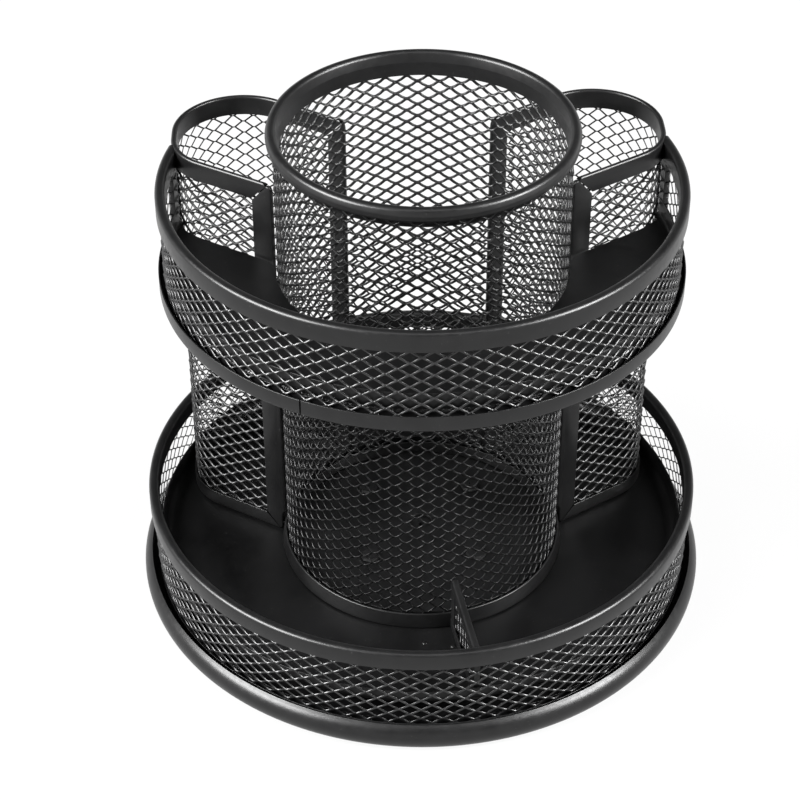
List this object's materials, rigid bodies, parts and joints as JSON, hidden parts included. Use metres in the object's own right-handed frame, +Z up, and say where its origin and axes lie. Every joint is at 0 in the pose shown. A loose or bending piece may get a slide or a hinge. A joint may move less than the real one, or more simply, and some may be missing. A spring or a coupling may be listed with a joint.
{
  "type": "rotating desk organizer",
  "caption": "Round two-tier desk organizer of black expanded steel mesh with a tall front cup, two lobed side cups and a crescent upper tray, turning on a ball race over a fixed base.",
  "frame": {"origin": "on the turning axis, at the underside of the feet", "axes": "+Z up along the turning axis, -Y towards the front cup and the divider, +X to the right seen from the front"},
  "size_m": [0.166, 0.166, 0.1546],
  "materials": {
    "black_sheet": "satin black powder coat on folded and spun steel sheet",
    "black_mesh": "satin black powder coat on expanded steel mesh, flattened, diamond openings about 6 by 3 mm",
    "rivet_steel": "plain zinc plated steel",
    "race_zinc": "yellowish zinc plated pressed steel",
    "ball_steel": "polished bearing steel",
    "cage_plastic": "natural nylon",
    "foot_rubber": "matt black foam rubber"
  },
  "bodies": {
    "base": {"base_pan": "black_sheet", "base_rivet_1": "rivet_steel", "base_rivet_2": "rivet_steel", "base_rivet_3": "rivet_steel", "base_rivet_4": "rivet_steel", "bearing_lower_plate": "race_zinc", "foot_pad_1": "foot_rubber", "foot_pad_2": "foot_rubber", "foot_pad_3": "foot_rubber", "foot_pad_4": "foot_rubber", "pivot_rivet": "rivet_steel", "pivot_washer": "race_zinc"},
    "ball_ring": {"ball_cage": "cage_plastic", "bearing_ball_01": "ball_steel", "bearing_ball_02": "ball_steel", "bearing_ball_03": "ball_steel", "bearing_ball_04": "ball_steel", "bearing_ball_05": "ball_steel", "bearing_ball_06": "ball_steel", "bearing_ball_07": "ball_steel", "bearing_ball_08": "ball_steel", "bearing_ball_09": "ball_steel", "bearing_ball_10": "ball_steel"},
    "carousel": {"bearing_upper_plate": "race_zinc", "divider_frame": "black_sheet", "divider_mesh": "black_mesh", "front_cup_base_ring": "black_sheet", "front_cup_rim": "black_sheet", "front_cup_wall": "black_mesh", "left_cup_bottom_band": "black_sheet", "left_cup_front_post": "black_sheet", "left_cup_rear_post": "black_sheet", "left_cup_top_band": "black_sheet", "left_cup_wall": "black_mesh", "lower_tray_floor": "black_sheet", "lower_tray_foot_band": "black_sheet", "lower_tray_rim": "black_sheet", "lower_tray_wall": "black_mesh", "right_cup_bottom_band": "black_sheet", "right_cup_front_post": "black_sheet", "right_cup_rear_post": "black_sheet", "right_cup_top_band": "black_sheet", "right_cup_wall": "black_mesh", "tray_rivet_1": "rivet_steel", "tray_rivet_2": "rivet_steel", "tray_rivet_3": "rivet_steel", "tray_rivet_4": "rivet_steel", "upper_tray_bottom_band": "black_sheet", "upper_tray_floor": "black_sheet", "upper_tray_rim": "black_sheet", "upper_tray_wall": "black_mesh"}
  },
  "joints": [
    {"name": "carousel_spin", "type": "hinge", "parent": "base", "child": "carousel", "pos_m": [0, 0, 0.0073], "axis": [0, 0, 1], "continuous": true},
    {"name": "ball_ring_spin", "type": "hinge", "parent": "base", "child": "ball_ring", "pos_m": [0, 0, 0.0073], "axis": [0, 0, 1], "continuous": true}
  ],
  "couplings": [
    {"joint": "ball_ring_spin", "follows": "carousel_spin", "ratio": 0.5}
  ]
}
